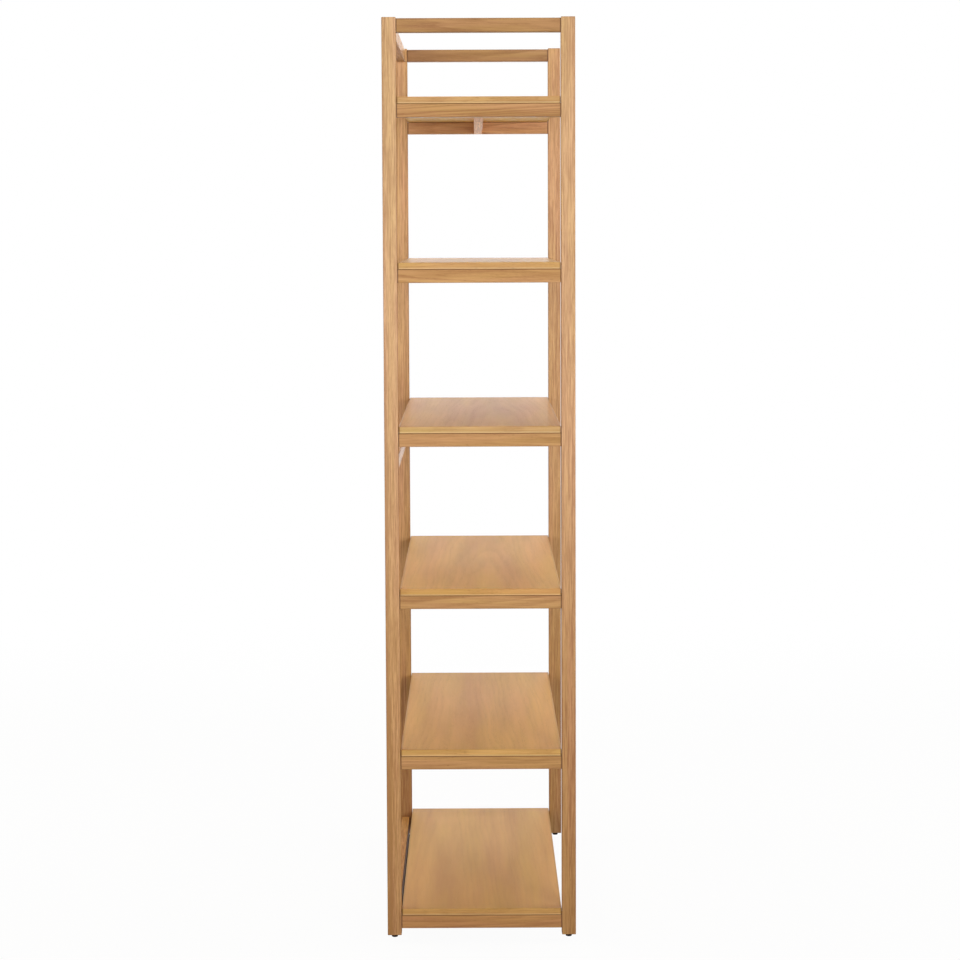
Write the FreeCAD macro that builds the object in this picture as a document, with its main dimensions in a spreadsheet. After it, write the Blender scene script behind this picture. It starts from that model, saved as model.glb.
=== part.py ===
import FreeCAD, Part
import os
import Sketcher

# Open oak bookcase: two ladder end frames, six shelves on the rungs, a stretcher under
# each shelf, three back rails and four levelling feet.
# X runs along the shelves, the front faces -Y and Z is up.
# The origin is on the floor, under the middle of the bookcase.

SHELF_COUNT = 6
# The middle back rail hangs just below the next shelf up from these
LOWER_SHELF_COUNT = 3

# Driving sizes in millimetres
SIZES = {
    # Whole bookcase
    "overall_length": 915,
    "overall_depth": 378,
    "overall_height": 1830,
    "rung_floor_gap": 20,
    "top_bay_height": 154,
    # Posts and rungs of the end frames
    "post_side": 28,
    "post_arris": 1.5,
    "rung_height": 27,
    "rung_thickness": 26,
    "rung_arris": 1,
    "top_rung_drop": 2.4,
    # Shelves and the stretchers under them
    "shelf_thickness": 13,
    "shelf_side_gap": 1,
    "shelf_arris": 1,
    "stretcher_width": 18,
    # Back rails
    "rail_height": 27,
    "rail_thickness": 18,
    "middle_rail_drop": 33,
    "bar_arris": 1,
    # Wooden dowels
    "dowel_diameter": 6,
    "dowel_length": 32,
    "dowel_spacing": 14,
    "dowel_edge": 4.5,
    "dowel_web": 2,
    "dowel_chamfer": 0.6,
    # Cam locks and their bolts, which hold the rails and the stretchers
    "cam_diameter": 15,
    "cam_past_bolt": 3.5,
    "cam_inset": 24,
    "cam_cavity_diameter": 9,
    "cam_cap": 3,
    "cam_slot_length": 9,
    "cam_slot_width": 1.6,
    "cam_slot_depth": 1.5,
    "bolt_thread_diameter": 5,
    "bolt_thread_length": 10,
    "bolt_shank_diameter": 6,
    "bolt_neck_diameter": 3.5,
    "bolt_head_diameter": 6.5,
    "bolt_head_length": 3.2,
    # Screws up through the rungs into the shelves
    "screw_head_diameter": 8,
    "screw_head_height": 3,
    "screw_shank_diameter": 4,
    "screw_bite": 9,
    "screw_inset": 50,
    "screw_slot_length": 5,
    "screw_slot_width": 1,
    "screw_slot_depth": 1.2,
    # Levelling feet
    "pad_diameter": 12.5,
    "pad_height": 6,
    "pad_edge": 1.8,
    "stud_diameter": 6,
    "stud_seat": 2.5,
    "stud_chamfer": 0.5,
    "insert_diameter": 8,
    "insert_length": 10,
    # Clearances
    "fit_clearance": 0.1,
    "thread_clearance": 0.05,
    "bore_clearance": 0.25,
    "stud_room": 0.5,
    "hole_end_room": 0.5,
}

# Places worked out from the driving sizes
POST_X = "((Sizes.overall_length - Sizes.post_side) / 2)"
POST_Y = "((Sizes.overall_depth - Sizes.post_side) / 2)"
POST_HALF = "(Sizes.post_side / 2)"
POST_LENGTH = "(Sizes.overall_height - Sizes.pad_height)"
RUNG_LENGTH = "(Sizes.overall_depth - 2 * Sizes.post_side)"
RUNG_HALF_LENGTH = f"({RUNG_LENGTH} / 2)"
RUNG_HALF_THICKNESS = "(Sizes.rung_thickness / 2)"
RUNG_MIDDLE = "(Sizes.rung_height / 2)"
SHELF_DEPTH = f"({RUNG_LENGTH} - 2 * Sizes.shelf_side_gap)"
SCREW_Y = f"({SHELF_DEPTH} / 2 - Sizes.screw_inset)"
RAIL_LENGTH = "(Sizes.overall_length - 2 * Sizes.post_side)"
STRETCHER_LENGTH = "(Sizes.overall_length - Sizes.post_side - Sizes.rung_thickness)"
LOWEST_SHELF_TOP = "(Sizes.rung_floor_gap + Sizes.rung_height + Sizes.shelf_thickness)"
HIGHEST_SHELF_TOP = "(Sizes.overall_height - Sizes.top_bay_height)"
SHELF_STEP = f"(({HIGHEST_SHELF_TOP} - {LOWEST_SHELF_TOP}) / {SHELF_COUNT - 1})"
LOWEST_DOWEL = f"(Sizes.rung_floor_gap + {RUNG_MIDDLE} - Sizes.dowel_spacing / 2)"
LOWEST_DOWEL_UNDERSIDE = f"({LOWEST_DOWEL} - Sizes.dowel_diameter / 2)"
TOP_RUNG_UNDERSIDE = "(Sizes.overall_height - Sizes.top_rung_drop - Sizes.rung_height)"

# Hole sizes, each its piece plus a clearance
DOWEL_HOLE = "(Sizes.dowel_diameter + 2 * Sizes.fit_clearance)"
DOWEL_DEPTH = "(Sizes.dowel_length / 2 + Sizes.hole_end_room)"
BAR_DOWEL_HALF = "(Sizes.post_side / 2 - Sizes.dowel_diameter / 2 - Sizes.dowel_web)"
BAR_DOWEL_DEPTH = f"({BAR_DOWEL_HALF} + Sizes.hole_end_room)"
BOLT_HOLE = "(Sizes.bolt_thread_diameter + 2 * Sizes.fit_clearance)"
BOLT_DEPTH = "(Sizes.bolt_thread_length + Sizes.hole_end_room)"
BOLT_BORE = "(Sizes.bolt_head_diameter + 2 * Sizes.bore_clearance)"
CAM_HOLE = "(Sizes.cam_diameter + 2 * Sizes.fit_clearance)"
SCREW_HOLE = "(Sizes.screw_shank_diameter + 2 * Sizes.fit_clearance)"
SCREW_HEAD_HOLE = "(Sizes.screw_head_diameter + 2 * Sizes.fit_clearance)"
SCREW_DEPTH = "(Sizes.screw_bite + Sizes.hole_end_room)"
INSERT_HOLE = "(Sizes.insert_diameter + 2 * Sizes.fit_clearance)"
INSERT_DEPTH = "(Sizes.insert_length + Sizes.hole_end_room)"
STUD_HOLE = "(Sizes.stud_diameter + 2 * Sizes.stud_room)"
STUD_LENGTH = f"({LOWEST_DOWEL_UNDERSIDE} - Sizes.dowel_web - Sizes.hole_end_room - Sizes.pad_height)"
STUD_DEPTH = f"({STUD_LENGTH} + Sizes.hole_end_room)"
STUD_THREAD_HOLE = "(Sizes.stud_diameter + 2 * Sizes.thread_clearance)"

# The ends and sides of the bookcase, with the sign of X or Y there
ENDS = {"left": "-", "right": ""}
SIDES = {"front": "-", "back": ""}

# The faces of a block: the plane that each is parallel to, the sign of its place
# along that plane's normal, and whether a cut into the block runs along the normal
FACES = {
    "left": ("YZ_Plane", "-", True),
    "right": ("YZ_Plane", "", False),
    "front": ("XZ_Plane", "", False),
    "back": ("XZ_Plane", "-", True),
    "bottom": ("XY_Plane", "-", True),
    "top": ("XY_Plane", "", False),
}

# Turns that lay a piece made along Z in another direction
ALONG_Z = FreeCAD.Rotation()
ALONG_X = FreeCAD.Rotation(FreeCAD.Vector(0, 1, 0), 90)
AGAINST_X = FreeCAD.Rotation(FreeCAD.Vector(0, 1, 0), -90)
ALONG_Y = FreeCAD.Rotation(FreeCAD.Vector(1, 0, 0), -90)

doc = FreeCAD.newDocument("bookcase")
nodes = []


def fill_sheet():
    """Put the driving sizes into the spreadsheet, each under its own name."""
    sheet = doc.addObject("Spreadsheet::Sheet", "Sizes")
    for row, (alias, value) in enumerate(SIZES.items(), start=1):
        sheet.set(f"A{row}", alias)
        sheet.set(f"B{row}", str(value))
        sheet.setAlias(f"B{row}", alias)
    doc.recompute()


def rung_underside(level):
    """Height of the underside of a shelf's rungs above the floor."""
    return f"(Sizes.rung_floor_gap + {level} * {SHELF_STEP})"


def all_rungs():
    """The name of each rung of an end frame and the height of its underside."""
    rungs = []
    for level in range(SHELF_COUNT):
        rungs.append((f"rung_{level + 1}", rung_underside(level)))
    rungs.append(("top_rung", TOP_RUNG_UNDERSIDE))
    return rungs


def back_rails():
    """The name of each back rail and the height of its underside."""
    middle = f"({rung_underside(LOWER_SHELF_COUNT)} - Sizes.middle_rail_drop - Sizes.rail_height)"
    top = "(Sizes.overall_height - Sizes.top_rung_drop - Sizes.rail_height)"
    return [
        ("bottom_back_rail", rung_underside(0)),
        ("middle_back_rail", middle),
        ("top_back_rail", top),
    ]


def place(piece, across, depth, height):
    """Tie a piece's place to expressions for X, Y and Z."""
    piece.setExpression(".Placement.Base.x", across)
    piece.setExpression(".Placement.Base.y", depth)
    piece.setExpression(".Placement.Base.z", height)


def new_sketch(body, plane_role, offset):
    """An empty sketch parallel to one of the body's own planes."""
    sketch = body.newObject("Sketcher::SketchObject", "Sketch")
    planes = {feature.Role: feature for feature in body.Origin.OriginFeatures}
    sketch.AttachmentSupport = (planes[plane_role], [""])
    sketch.MapMode = "FlatFace"
    sketch.setExpression("AttachmentOffset.Base.z", offset)
    return sketch


def draw_rectangle(sketch, width, height):
    """A rectangle centred on the sketch's origin."""
    corners = [FreeCAD.Vector(x, y, 0) for x, y in ((-1, -1), (1, -1), (1, 1), (-1, 1))]
    for side in range(4):
        sketch.addGeometry(Part.LineSegment(corners[side], corners[(side + 1) % 4]))
    for side in range(4):
        sketch.addConstraint(Sketcher.Constraint("Coincident", side, 2, (side + 1) % 4, 1))
    for side in (0, 2):
        sketch.addConstraint(Sketcher.Constraint("Horizontal", side))
        sketch.addConstraint(Sketcher.Constraint("Vertical", side + 1))
    sketch.addConstraint(Sketcher.Constraint("Symmetric", 0, 1, 2, 1, -1, 1))
    wide = sketch.addConstraint(Sketcher.Constraint("DistanceX", 0, 1, 0, 2, 2.0))
    high = sketch.addConstraint(Sketcher.Constraint("DistanceY", 1, 1, 1, 2, 2.0))
    sketch.setExpression(f"Constraints[{wide}]", width)
    sketch.setExpression(f"Constraints[{high}]", height)


def draw_circle(sketch, across, up, diameter):
    """A circle whose centre is tied to the sketch's origin."""
    centre = FreeCAD.Vector(1, 1, 0)
    normal = FreeCAD.Vector(0, 0, 1)
    circle = sketch.addGeometry(Part.Circle(centre, normal, 1.0))
    wide = sketch.addConstraint(Sketcher.Constraint("Diameter", circle, 2.0))
    right = sketch.addConstraint(Sketcher.Constraint("DistanceX", -1, 1, circle, 3, 1.0))
    above = sketch.addConstraint(Sketcher.Constraint("DistanceY", -1, 1, circle, 3, 1.0))
    sketch.setExpression(f"Constraints[{wide}]", diameter)
    sketch.setExpression(f"Constraints[{right}]", across)
    sketch.setExpression(f"Constraints[{above}]", up)


def extrude(body, sketch, length):
    pad = body.newObject("PartDesign::Pad", "Pad")
    pad.Profile = sketch
    pad.setExpression("Length", length)
    return pad


def cut(body, sketch, depth, along_normal):
    pocket = body.newObject("PartDesign::Pocket", "Pocket")
    pocket.Profile = sketch
    pocket.setExpression("Length", depth)
    pocket.Reversed = along_normal


def ease_edges(body, feature, kind, size):
    """Round or bevel every edge of a feature; kind is Fillet or Chamfer."""
    doc.recompute()
    dressing = body.newObject(f"PartDesign::{kind}", kind)
    dressing.Base = (feature, [""])
    dressing.UseAllEdges = True
    dressing.setExpression("Radius" if kind == "Fillet" else "Size", size)


def block(name, along_x, along_y, along_z, arris):
    """A wooden block with eased edges; its origin is in the middle of its underside."""
    body = doc.addObject("PartDesign::Body", name)
    sketch = new_sketch(body, "XY_Plane", "0")
    draw_rectangle(sketch, along_x, along_y)
    pad = extrude(body, sketch, along_z)
    ease_edges(body, pad, "Fillet", arris)
    return body


def turned(name, start, steps):
    """A round piece along Z: steps of a diameter and a length, one on the other."""
    body = doc.addObject("PartDesign::Body", name)
    offset = start
    for diameter, length in steps:
        sketch = new_sketch(body, "XY_Plane", offset)
        draw_circle(sketch, "0", "0", diameter)
        extrude(body, sketch, length)
        offset = f"{offset} + {length}"
    return body


def drill(body, face, reach, centres, diameter, depth):
    """Round holes into a face that lies reach away from the body's own plane."""
    role, sign, along_normal = FACES[face]
    sketch = new_sketch(body, role, f"{sign}({reach})")
    for across, up in centres:
        draw_circle(sketch, across, up, diameter)
    cut(body, sketch, depth, along_normal)


def drive_cross(body, face, reach, length, width, depth):
    """A cross recess for a screwdriver in the top or bottom of a round piece."""
    role, sign, along_normal = FACES[face]
    for wide, high in ((length, width), (width, length)):
        sketch = new_sketch(body, role, f"{sign}({reach})")
        draw_rectangle(sketch, wide, high)
        cut(body, sketch, depth, along_normal)


def keep(name, piece):
    """Name a piece and list it for writing."""
    piece.Label = name
    nodes.append((name, piece))


def keep_group(name, master, spots):
    """Copies of one master piece at many spots, kept together under one name."""
    copies = []
    for turn, across, depth, height in spots:
        copy = doc.addObject("App::Link", f"{name}_copy")
        copy.LinkedObject = master
        copy.Placement.Rotation = turn
        place(copy, across, depth, height)
        copies.append(copy)
    group = doc.addObject("Part::Compound", name)
    group.Links = copies
    keep(name, group)


def rung_dowel_heights(underside):
    """Heights of the two dowels that hold each end of a rung."""
    middle = f"{underside} + {RUNG_MIDDLE}"
    return [f"{middle} - Sizes.dowel_spacing / 2", f"{middle} + Sizes.dowel_spacing / 2"]


def inward(sides, side):
    """The face that looks at the opposite piece."""
    return next(other for other in sides if other != side)


def make_post(end, side):
    name = f"{end}_{side}_post"
    post = block(name, "Sizes.post_side", "Sizes.post_side", POST_LENGTH, "Sizes.post_arris")
    centres = []
    for rung, underside in all_rungs():
        for height in rung_dowel_heights(underside):
            centres.append(("0", f"{height} - Sizes.pad_height"))
    drill(post, inward(SIDES, side), POST_HALF, centres, DOWEL_HOLE, DOWEL_DEPTH)
    if side == "back":
        bolts = []
        dowels = []
        for rail, underside in back_rails():
            local = f"{underside} - Sizes.pad_height"
            bolts.append(("0", f"{local} + Sizes.rail_height / 2"))
            dowels.append(("0", f"{local} + Sizes.dowel_edge"))
        face = inward(ENDS, end)
        drill(post, face, POST_HALF, bolts, BOLT_HOLE, BOLT_DEPTH)
        drill(post, face, POST_HALF, dowels, DOWEL_HOLE, BAR_DOWEL_DEPTH)
    drill(post, "bottom", "0", [("0", "0")], INSERT_HOLE, INSERT_DEPTH)
    drill(post, "bottom", "0", [("0", "0")], STUD_HOLE, STUD_DEPTH)
    place(post, f"{ENDS[end]}{POST_X}", f"{SIDES[side]}{POST_Y}", "Sizes.pad_height")
    keep(name, post)


def make_rung(end, rung, underside):
    name = f"{end}_{rung}"
    body = block(name, "Sizes.rung_thickness", RUNG_LENGTH, "Sizes.rung_height", "Sizes.rung_arris")
    dowels = [("0", height) for height in rung_dowel_heights("0")]
    for side in SIDES:
        drill(body, side, RUNG_HALF_LENGTH, dowels, DOWEL_HOLE, DOWEL_DEPTH)
    if rung != "top_rung":
        face = inward(ENDS, end)
        bolt = [("0", RUNG_MIDDLE)]
        dowel = [("0", "Sizes.dowel_edge")]
        drill(body, face, RUNG_HALF_THICKNESS, bolt, BOLT_HOLE, BOLT_DEPTH)
        drill(body, face, RUNG_HALF_THICKNESS, dowel, DOWEL_HOLE, BAR_DOWEL_DEPTH)
        screws = [("0", f"-{SCREW_Y}"), ("0", SCREW_Y)]
        drill(body, "bottom", "0", screws, SCREW_HEAD_HOLE, "Sizes.screw_head_height")
        drill(body, "bottom", "0", screws, SCREW_HOLE, "Sizes.rung_height")
    place(body, f"{ENDS[end]}{POST_X}", "0", underside)
    keep(name, body)


def make_shelf(level):
    name = f"shelf_{level + 1}"
    shelf = block(name, "Sizes.overall_length", SHELF_DEPTH, "Sizes.shelf_thickness", "Sizes.shelf_arris")
    screws = []
    for x_sign in ENDS.values():
        for y_sign in SIDES.values():
            screws.append((f"{x_sign}{POST_X}", f"{y_sign}{SCREW_Y}"))
    drill(shelf, "bottom", "0", screws, SCREW_HOLE, SCREW_DEPTH)
    place(shelf, "0", "0", f"{rung_underside(level)} + Sizes.rung_height")
    keep(name, shelf)


def cam_thickness(thickness):
    """A cam lock reaches a little past the bolt in the middle of the bar."""
    return f"({thickness} / 2 + Sizes.cam_past_bolt)"


def make_bar(name, length, thickness, height):
    """A back rail or a stretcher, drilled at both ends for a cam lock, its bolt and a dowel."""
    bar = block(name, length, thickness, height, "Sizes.bar_arris")
    middle = f"{height} / 2"
    cams = []
    for end, sign in ENDS.items():
        drill(bar, end, f"{length} / 2", [("0", middle)], BOLT_BORE, "Sizes.cam_inset")
        drill(bar, end, f"{length} / 2", [("0", "Sizes.dowel_edge")], DOWEL_HOLE, BAR_DOWEL_DEPTH)
        cams.append((f"{sign}({length} / 2 - Sizes.cam_inset)", middle))
    cam_depth = f"{cam_thickness(thickness)} + Sizes.hole_end_room"
    drill(bar, "back", f"{thickness} / 2", cams, CAM_HOLE, cam_depth)
    return bar


def make_cam_lock(name, thickness):
    """A cam with its outer face up at Z 0: a cup with a slot for the bolt's neck."""
    length = cam_thickness(thickness)
    cam = turned(name, f"-{length}", [("Sizes.cam_diameter", length)])
    cavity = [("0", "0")]
    drill(cam, "bottom", length, cavity, "Sizes.cam_cavity_diameter", f"{length} - Sizes.cam_cap")
    role, sign, along_normal = FACES["bottom"]
    neck_slot = new_sketch(cam, role, f"{sign}({length})")
    neck_width = "Sizes.bolt_neck_diameter + 2 * Sizes.bore_clearance"
    draw_rectangle(neck_slot, "2 * Sizes.cam_diameter", neck_width)
    cut(cam, neck_slot, f"Sizes.cam_past_bolt + ({neck_width}) / 2", along_normal)
    drive_cross(cam, "top", "0", "Sizes.cam_slot_length", "Sizes.cam_slot_width", "Sizes.cam_slot_depth")
    return cam


def make_cam_bolt():
    """A bolt that screws into a post or rung, with Z 0 at the wood and its head above."""
    rim = "(Sizes.cam_inset - Sizes.cam_diameter / 2 - Sizes.bore_clearance)"
    head_start = "(Sizes.cam_inset - Sizes.bolt_head_length / 2)"
    steps = [
        ("Sizes.bolt_thread_diameter", "Sizes.bolt_thread_length"),
        ("Sizes.bolt_shank_diameter", rim),
        ("Sizes.bolt_neck_diameter", f"({head_start} - {rim})"),
        ("Sizes.bolt_head_diameter", "Sizes.bolt_head_length"),
    ]
    return turned("cam_bolt", "-Sizes.bolt_thread_length", steps)


def make_dowel(name, half_length):
    dowel = turned(name, f"-{half_length}", [("Sizes.dowel_diameter", f"(2 * {half_length})")])
    ease_edges(dowel, dowel.Tip, "Chamfer", "Sizes.dowel_chamfer")
    return dowel


def make_screw():
    """A screw with the underside of its head at Z 0 and its point up."""
    shank = "(Sizes.rung_height - Sizes.screw_head_height + Sizes.screw_bite)"
    steps = [
        ("Sizes.screw_head_diameter", "Sizes.screw_head_height"),
        ("Sizes.screw_shank_diameter", shank),
    ]
    screw = turned("shelf_screw", "0", steps)
    drive_cross(screw, "bottom", "0", "Sizes.screw_slot_length", "Sizes.screw_slot_width",
                "Sizes.screw_slot_depth")
    return screw


def make_end_frames():
    for end in ENDS:
        for side in SIDES:
            make_post(end, side)
        for rung, underside in all_rungs():
            make_rung(end, rung, underside)
    dowel = make_dowel("rung_dowel", "(Sizes.dowel_length / 2)")
    for end, x_sign in ENDS.items():
        spots = []
        for rung, underside in all_rungs():
            for y_sign in SIDES.values():
                for height in rung_dowel_heights(underside):
                    spots.append((ALONG_Y, f"{x_sign}{POST_X}", f"{y_sign}{RUNG_HALF_LENGTH}", height))
        keep_group(f"{end}_frame_dowels", dowel, spots)


def make_shelves():
    for level in range(SHELF_COUNT):
        make_shelf(level)
    spots = []
    for level in range(SHELF_COUNT):
        for x_sign in ENDS.values():
            for y_sign in SIDES.values():
                spots.append((ALONG_Z, f"{x_sign}{POST_X}", f"{y_sign}{SCREW_Y}", rung_underside(level)))
    keep_group("shelf_screws", make_screw(), spots)


def make_bar_set(group, bars, length, thickness, height, depth, bolt):
    """Like bars at several heights, with the cam locks, bolts and dowels at their ends."""
    bolt_spots = []
    cam_spots = []
    dowel_spots = []
    for name, underside in bars:
        bar = make_bar(name, length, thickness, height)
        place(bar, "0", depth, underside)
        keep(name, bar)
        middle = f"{underside} + {height} / 2"
        for end, sign in ENDS.items():
            bolt_turn = ALONG_X if end == "left" else AGAINST_X
            bolt_spots.append((bolt_turn, f"{sign}({length} / 2)", depth, middle))
            cam_x = f"{sign}({length} / 2 - Sizes.cam_inset)"
            cam_spots.append((ALONG_Y, cam_x, f"{depth} + {thickness} / 2", middle))
            dowel_height = f"{underside} + Sizes.dowel_edge"
            dowel_spots.append((ALONG_X, f"{sign}({length} / 2)", depth, dowel_height))
    keep_group(f"{group}_cam_bolts", bolt, bolt_spots)
    keep_group(f"{group}_cam_locks", make_cam_lock(f"{group}_cam", thickness), cam_spots)
    keep_group(f"{group}_dowels", make_dowel(f"{group}_dowel", BAR_DOWEL_HALF), dowel_spots)


def make_bars():
    bolt = make_cam_bolt()
    stretchers = []
    for level in range(SHELF_COUNT):
        stretchers.append((f"shelf_stretcher_{level + 1}", rung_underside(level)))
    make_bar_set("stretcher", stretchers, STRETCHER_LENGTH, "Sizes.stretcher_width", "Sizes.rung_height",
                 "0", bolt)
    make_bar_set("rail", back_rails(), RAIL_LENGTH, "Sizes.rail_thickness", "Sizes.rail_height",
                 POST_Y, bolt)


def make_foot(end, side):
    """A round pad on a threaded stud; the pad's top meets the post when screwed right in."""
    across = f"{ENDS[end]}{POST_X}"
    depth = f"{SIDES[side]}{POST_Y}"
    pad_name = f"{end}_{side}_foot_pad"
    pad = turned(pad_name, "0", [("Sizes.pad_diameter", "Sizes.pad_height")])
    ease_edges(pad, pad.Tip, "Fillet", "Sizes.pad_edge")
    drill(pad, "top", "Sizes.pad_height", [("0", "0")], STUD_THREAD_HOLE, "Sizes.stud_seat")
    place(pad, across, depth, "0")
    keep(pad_name, pad)
    stud_name = f"{end}_{side}_foot_stud"
    stud = turned(stud_name, "0", [("Sizes.stud_diameter", f"(Sizes.stud_seat + {STUD_LENGTH})")])
    ease_edges(stud, stud.Tip, "Chamfer", "Sizes.stud_chamfer")
    place(stud, across, depth, "Sizes.pad_height - Sizes.stud_seat")
    keep(stud_name, stud)


def make_feet():
    insert = turned("foot_insert", "0", [("Sizes.insert_diameter", "Sizes.insert_length")])
    drill(insert, "bottom", "0", [("0", "0")], STUD_THREAD_HOLE, "Sizes.insert_length")
    spots = []
    for end, x_sign in ENDS.items():
        for side, y_sign in SIDES.items():
            make_foot(end, side)
            spots.append((ALONG_Z, f"{x_sign}{POST_X}", f"{y_sign}{POST_Y}", "Sizes.pad_height"))
    keep_group("foot_inserts", insert, spots)


def check_model():
    """Stop if an object failed, a cut removed nothing or a shape is empty or broken."""
    for item in doc.Objects:
        if "Invalid" in item.State or "Error" in item.State:
            raise RuntimeError(f"{item.Name} failed: {item.State}")
        if item.TypeId == "PartDesign::Pocket":
            if item.Shape.Volume >= item.BaseFeature.Shape.Volume:
                raise RuntimeError(f"{item.Name} cuts nothing")
    for name, piece in nodes:
        if piece.Shape.isNull() or not piece.Shape.isValid():
            raise RuntimeError(f"{name} has no valid shape")


def write_parts():
    os.makedirs("parts", exist_ok=True)
    for name, piece in nodes:
        piece.Shape.exportStep(f"parts/{name}.step")
    print(f"{len(nodes)} nodes, {sum(len(piece.Shape.Solids) for name, piece in nodes)} solids")


fill_sheet()
make_end_frames()
make_shelves()
make_bars()
make_feet()
doc.recompute()
check_model()
write_parts()
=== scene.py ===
import math
import random

import bmesh
import bpy
from mathutils import Matrix, Vector


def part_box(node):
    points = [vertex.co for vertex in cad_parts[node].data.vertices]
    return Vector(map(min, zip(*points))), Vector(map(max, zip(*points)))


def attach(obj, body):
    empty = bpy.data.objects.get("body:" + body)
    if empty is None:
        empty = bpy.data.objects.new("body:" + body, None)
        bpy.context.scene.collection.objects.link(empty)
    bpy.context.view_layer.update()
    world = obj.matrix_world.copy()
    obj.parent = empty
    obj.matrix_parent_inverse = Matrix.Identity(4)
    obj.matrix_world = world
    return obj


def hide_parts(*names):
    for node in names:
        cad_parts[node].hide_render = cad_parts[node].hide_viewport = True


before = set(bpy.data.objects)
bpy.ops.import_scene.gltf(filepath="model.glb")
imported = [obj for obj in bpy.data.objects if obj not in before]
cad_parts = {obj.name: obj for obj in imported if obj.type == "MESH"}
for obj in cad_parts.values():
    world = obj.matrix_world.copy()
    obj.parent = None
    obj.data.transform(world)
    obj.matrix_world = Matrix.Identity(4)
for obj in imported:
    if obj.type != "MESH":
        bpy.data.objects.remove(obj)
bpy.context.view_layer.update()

# Open oak bookcase seen from its end. Metres; X along the shelves, the front faces -Y, Z up.

ENDS = ("left", "right")
SIDES = ("front", "back")
SHELF_LEVELS = range(1, 7)

# Camera
CAMERA_PLACE = Vector((-5.5933, 0.0112, 1.4124))
CAMERA_AIM = Vector((0.0, -0.001, 0.9216))
CAMERA_ROLL = math.radians(-0.2307)
CAMERA_LENS = 97.84
CAMERA_SHIFT_UP = -0.02
SENSOR_WIDTH = 36.0
CLIP_END = 200.0

# Floor and light
FLOOR_SIZE = 60.0
FLOOR_HEIGHT = -0.0085  # just below the feet when they are screwed right out
AMBIENT_COLOUR = (1.0, 0.985, 0.965, 1.0)
AMBIENT_STRENGTH = 0.03
WHITE = (1.0, 1.0, 1.0, 1.0)
WARM_WHITE = (1.0, 0.94, 0.82)

# The floor's colour to the eye, and for the light that it throws back on the bookcase
FLOOR_COLOUR = (0.9, 0.9, 0.9, 1.0)
FLOOR_BOUNCE = (0.26, 0.25, 0.24, 1.0)

# How much of the floor is plain white near the bookcase, and between which distances it becomes all white
FLOOR_WHITE_SHARE = 0.955
FLOOR_SHADOW_REACH = (1.5, 4.0)

# A dark line of shadow under the bottom rail: its middle, and half sizes where it is full and where it ends
UNDER_RAIL_MIDDLE = (0.112, 0.1682, 0.0)
UNDER_RAIL_X = (0.372, 0.385)
UNDER_RAIL_Y = (0.0012, 0.0016)
UNDER_RAIL_COLOUR = (0.02, 0.02, 0.02, 1.0)

# The direction of the grain in each kind of wooden piece
ALONG_X = "XYZ"
ALONG_Y = "YXZ"
ALONG_Z = "ZXY"

# The way the fibres run, a little off each axis so that end grain has a direction too
FIBRES = {"X": (1.0, 0.02, 0.01), "Y": (0.02, 1.0, 0.01), "Z": (0.02, 0.01, 1.0)}


def linear(red, green, blue):
    """A colour as it looks on screen, 0 to 255, turned into the linear values that shaders take."""
    values = []
    for value in (red, green, blue):
        share = value / 255
        if share <= 0.04045:
            values.append(share / 12.92)
        else:
            values.append(((share + 0.055) / 1.055) ** 2.4)
    return (*values, 1.0)


# Node helpers

def fill(tree, node, inputs):
    """Fill a node's inputs with sockets or plain values."""
    for key, value in dict(inputs).items():
        if isinstance(value, bpy.types.NodeSocket):
            tree.links.new(value, node.inputs[key])
        else:
            node.inputs[key].default_value = value


def add(tree, kind, inputs=(), **settings):
    """Add a node, apply its settings and fill its inputs."""
    node = tree.nodes.new("ShaderNode" + kind)
    for name, value in settings.items():
        setattr(node, name, value)
    fill(tree, node, inputs)
    return node


def calc(tree, operation, *terms):
    """The result of one step of arithmetic."""
    return add(tree, "Math", enumerate(terms), operation=operation).outputs[0]


def calc_vector(tree, operation, *terms):
    """The result of one step of vector arithmetic."""
    return add(tree, "VectorMath", enumerate(terms), operation=operation).outputs[0]


def noise(tree, vector, per_metre, detail=2.0, roughness=0.5):
    """Noise around 0.5 with so many bumps per metre along each axis."""
    stretched = calc_vector(tree, "MULTIPLY", vector, per_metre)
    inputs = {"Vector": stretched, "Scale": 1.0, "Detail": detail, "Roughness": roughness}
    return add(tree, "TexNoise", inputs).outputs[0]


def swing(tree, vector, per_metre, detail=2.0, roughness=0.5):
    """The same noise around 0."""
    return calc(tree, "SUBTRACT", noise(tree, vector, per_metre, detail, roughness), 0.5)


def spread(tree, value, low, high, from_low=0.0, from_high=1.0):
    """A value moved smoothly from one range to another, and held at its ends."""
    inputs = enumerate((value, from_low, from_high, low, high))
    return add(tree, "MapRange", inputs, interpolation_type="SMOOTHSTEP").outputs[0]


def mix_colours(tree, share, first, second, blend="MIX"):
    node = add(tree, "Mix", {0: share, 6: first, 7: second}, data_type="RGBA", blend_type=blend)
    return node.outputs[2]


def mix_vectors(tree, share, first, second):
    return add(tree, "Mix", {0: share, 4: first, 5: second}, data_type="VECTOR").outputs[1]


def mix_values(tree, share, first, second):
    """A mix of two numbers or of two vectors."""
    if isinstance(first, tuple):
        return mix_vectors(tree, share, first, second)
    return add(tree, "Mix", {0: share, 2: first, 3: second}, data_type="FLOAT").outputs[0]


def ramp(tree, value, stops):
    """A curve through (place, height) stops."""
    node = add(tree, "ValToRGB", {0: value})
    elements = node.color_ramp.elements
    while len(elements) < len(stops):
        elements.new(0.5)
    for element, (place, height) in zip(elements, stops):
        element.position = place
        element.color = (height, height, height, 1.0)
    return node.outputs[0]


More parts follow.
